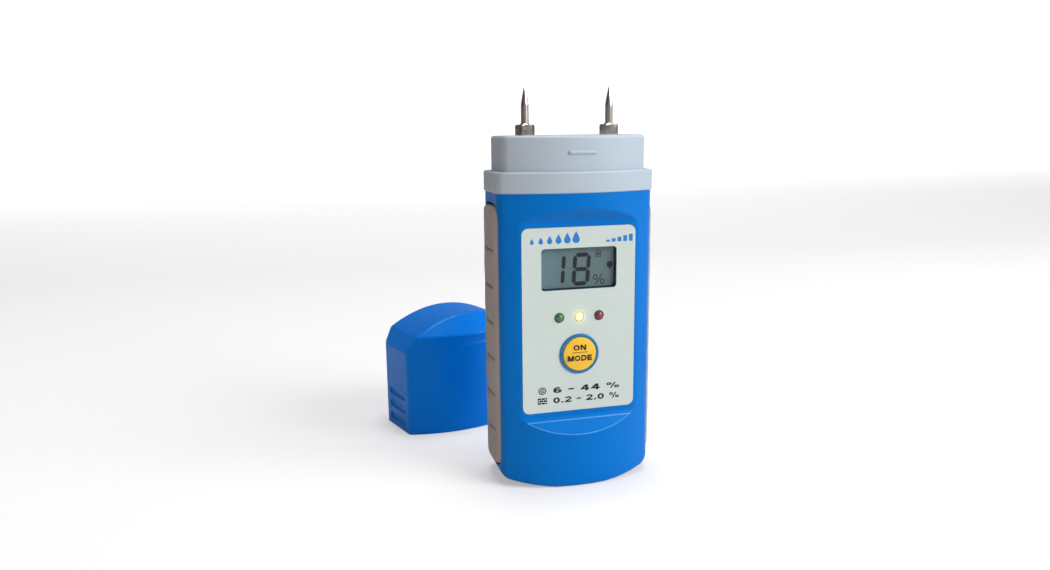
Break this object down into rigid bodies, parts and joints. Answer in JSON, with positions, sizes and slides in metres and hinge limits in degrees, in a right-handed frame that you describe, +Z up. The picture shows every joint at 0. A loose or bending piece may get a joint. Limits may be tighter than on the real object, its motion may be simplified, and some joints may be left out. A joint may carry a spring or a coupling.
{
  "type": "moisture meter",
  "caption": "Handheld pin moisture meter with curved body, ribbed side grips, face label with display, lamps and round key, two electrode pins and a separate standing cap.",
  "frame": {"origin": "middle of the flat stretch of the meter's base, on the surface it stands on", "axes": "+Z up along the meter towards the pins, front face with display and key toward -Y, +X to the viewer's right"},
  "size_m": [0.0738, 0.089, 0.1161],
  "materials": {
    "body_plastic": "satin",
    "cap_plastic": "satin",
    "head_plastic": "satin",
    "grip_rubber": "matt",
    "label_film": "satin",
    "window_clear": "polished",
    "lcd_glass": "polished",
    "frame_plastic": "matt",
    "zebra_rubber": "matt",
    "board_laminate": "gloss",
    "chip_plastic": "matt",
    "component_ceramic": "matt",
    "lamp_green": "clear gloss",
    "lamp_yellow": "clear gloss, lit",
    "lamp_red": "clear gloss",
    "plunger_plastic": "matt",
    "key_plastic": "satin",
    "pin_steel": "polished",
    "nut_metal": "satin",
    "socket_brass": "satin",
    "lead_insulation": "satin",
    "cell_steel": "brushed",
    "contact_steel": "satin",
    "seal_rubber": "matt",
    "screw_steel": "satin"
  },
  "bodies": {
    "meter": {"front_shell": "body_plastic", "rear_shell": "body_plastic", "electrode_head": "head_plastic", "left_grip": "grip_rubber", "right_grip": "grip_rubber", "faceplate_label": "label_film", "display_window": "window_clear", "lcd_panel": "lcd_glass", "lcd_frame": "frame_plastic", "zebra_strips": "zebra_rubber", "main_board": "board_laminate", "controller_chip": "chip_plastic", "board_components": "component_ceramic", "led_green": "lamp_green", "led_yellow": "lamp_yellow", "led_red": "lamp_red", "switch_base": "chip_plastic", "electrode_pin_left": "pin_steel", "electrode_pin_right": "pin_steel", "pin_nut_left": "nut_metal", "pin_nut_right": "nut_metal", "electrode_socket_left": "socket_brass", "electrode_socket_right": "socket_brass", "electrode_leads": "lead_insulation", "coin_cell_inner": "cell_steel", "coin_cell_middle": "cell_steel", "coin_cell_outer": "cell_steel", "contact_negative": "contact_steel", "contact_positive": "contact_steel", "cover_seal": "seal_rubber", "case_screws": "screw_steel", "board_screws": "screw_steel"},
    "key": {"mode_key": "key_plastic", "switch_plunger": "plunger_plastic"},
    "cover": {"battery_cover": "body_plastic"},
    "cap": {"protective_cap": "cap_plastic"}
  },
  "joints": [
    {"name": "key_press", "type": "slide", "parent": "meter", "child": "key", "axis": [0, 1, 0], "range_m": [0, 0.0004], "stiffness_N_per_m": 1200},
    {"name": "cover_turn", "type": "hinge", "parent": "meter", "child": "cover", "pos_m": [0, 0.0118, 0.031], "axis": [0, 1, 0], "range_deg": [0, 60]},
    {"name": "cap_lift", "type": "slide", "parent": "meter", "child": "cap", "axis": [0, 0, 1], "range_m": [0, 0.04]}
  ]
}
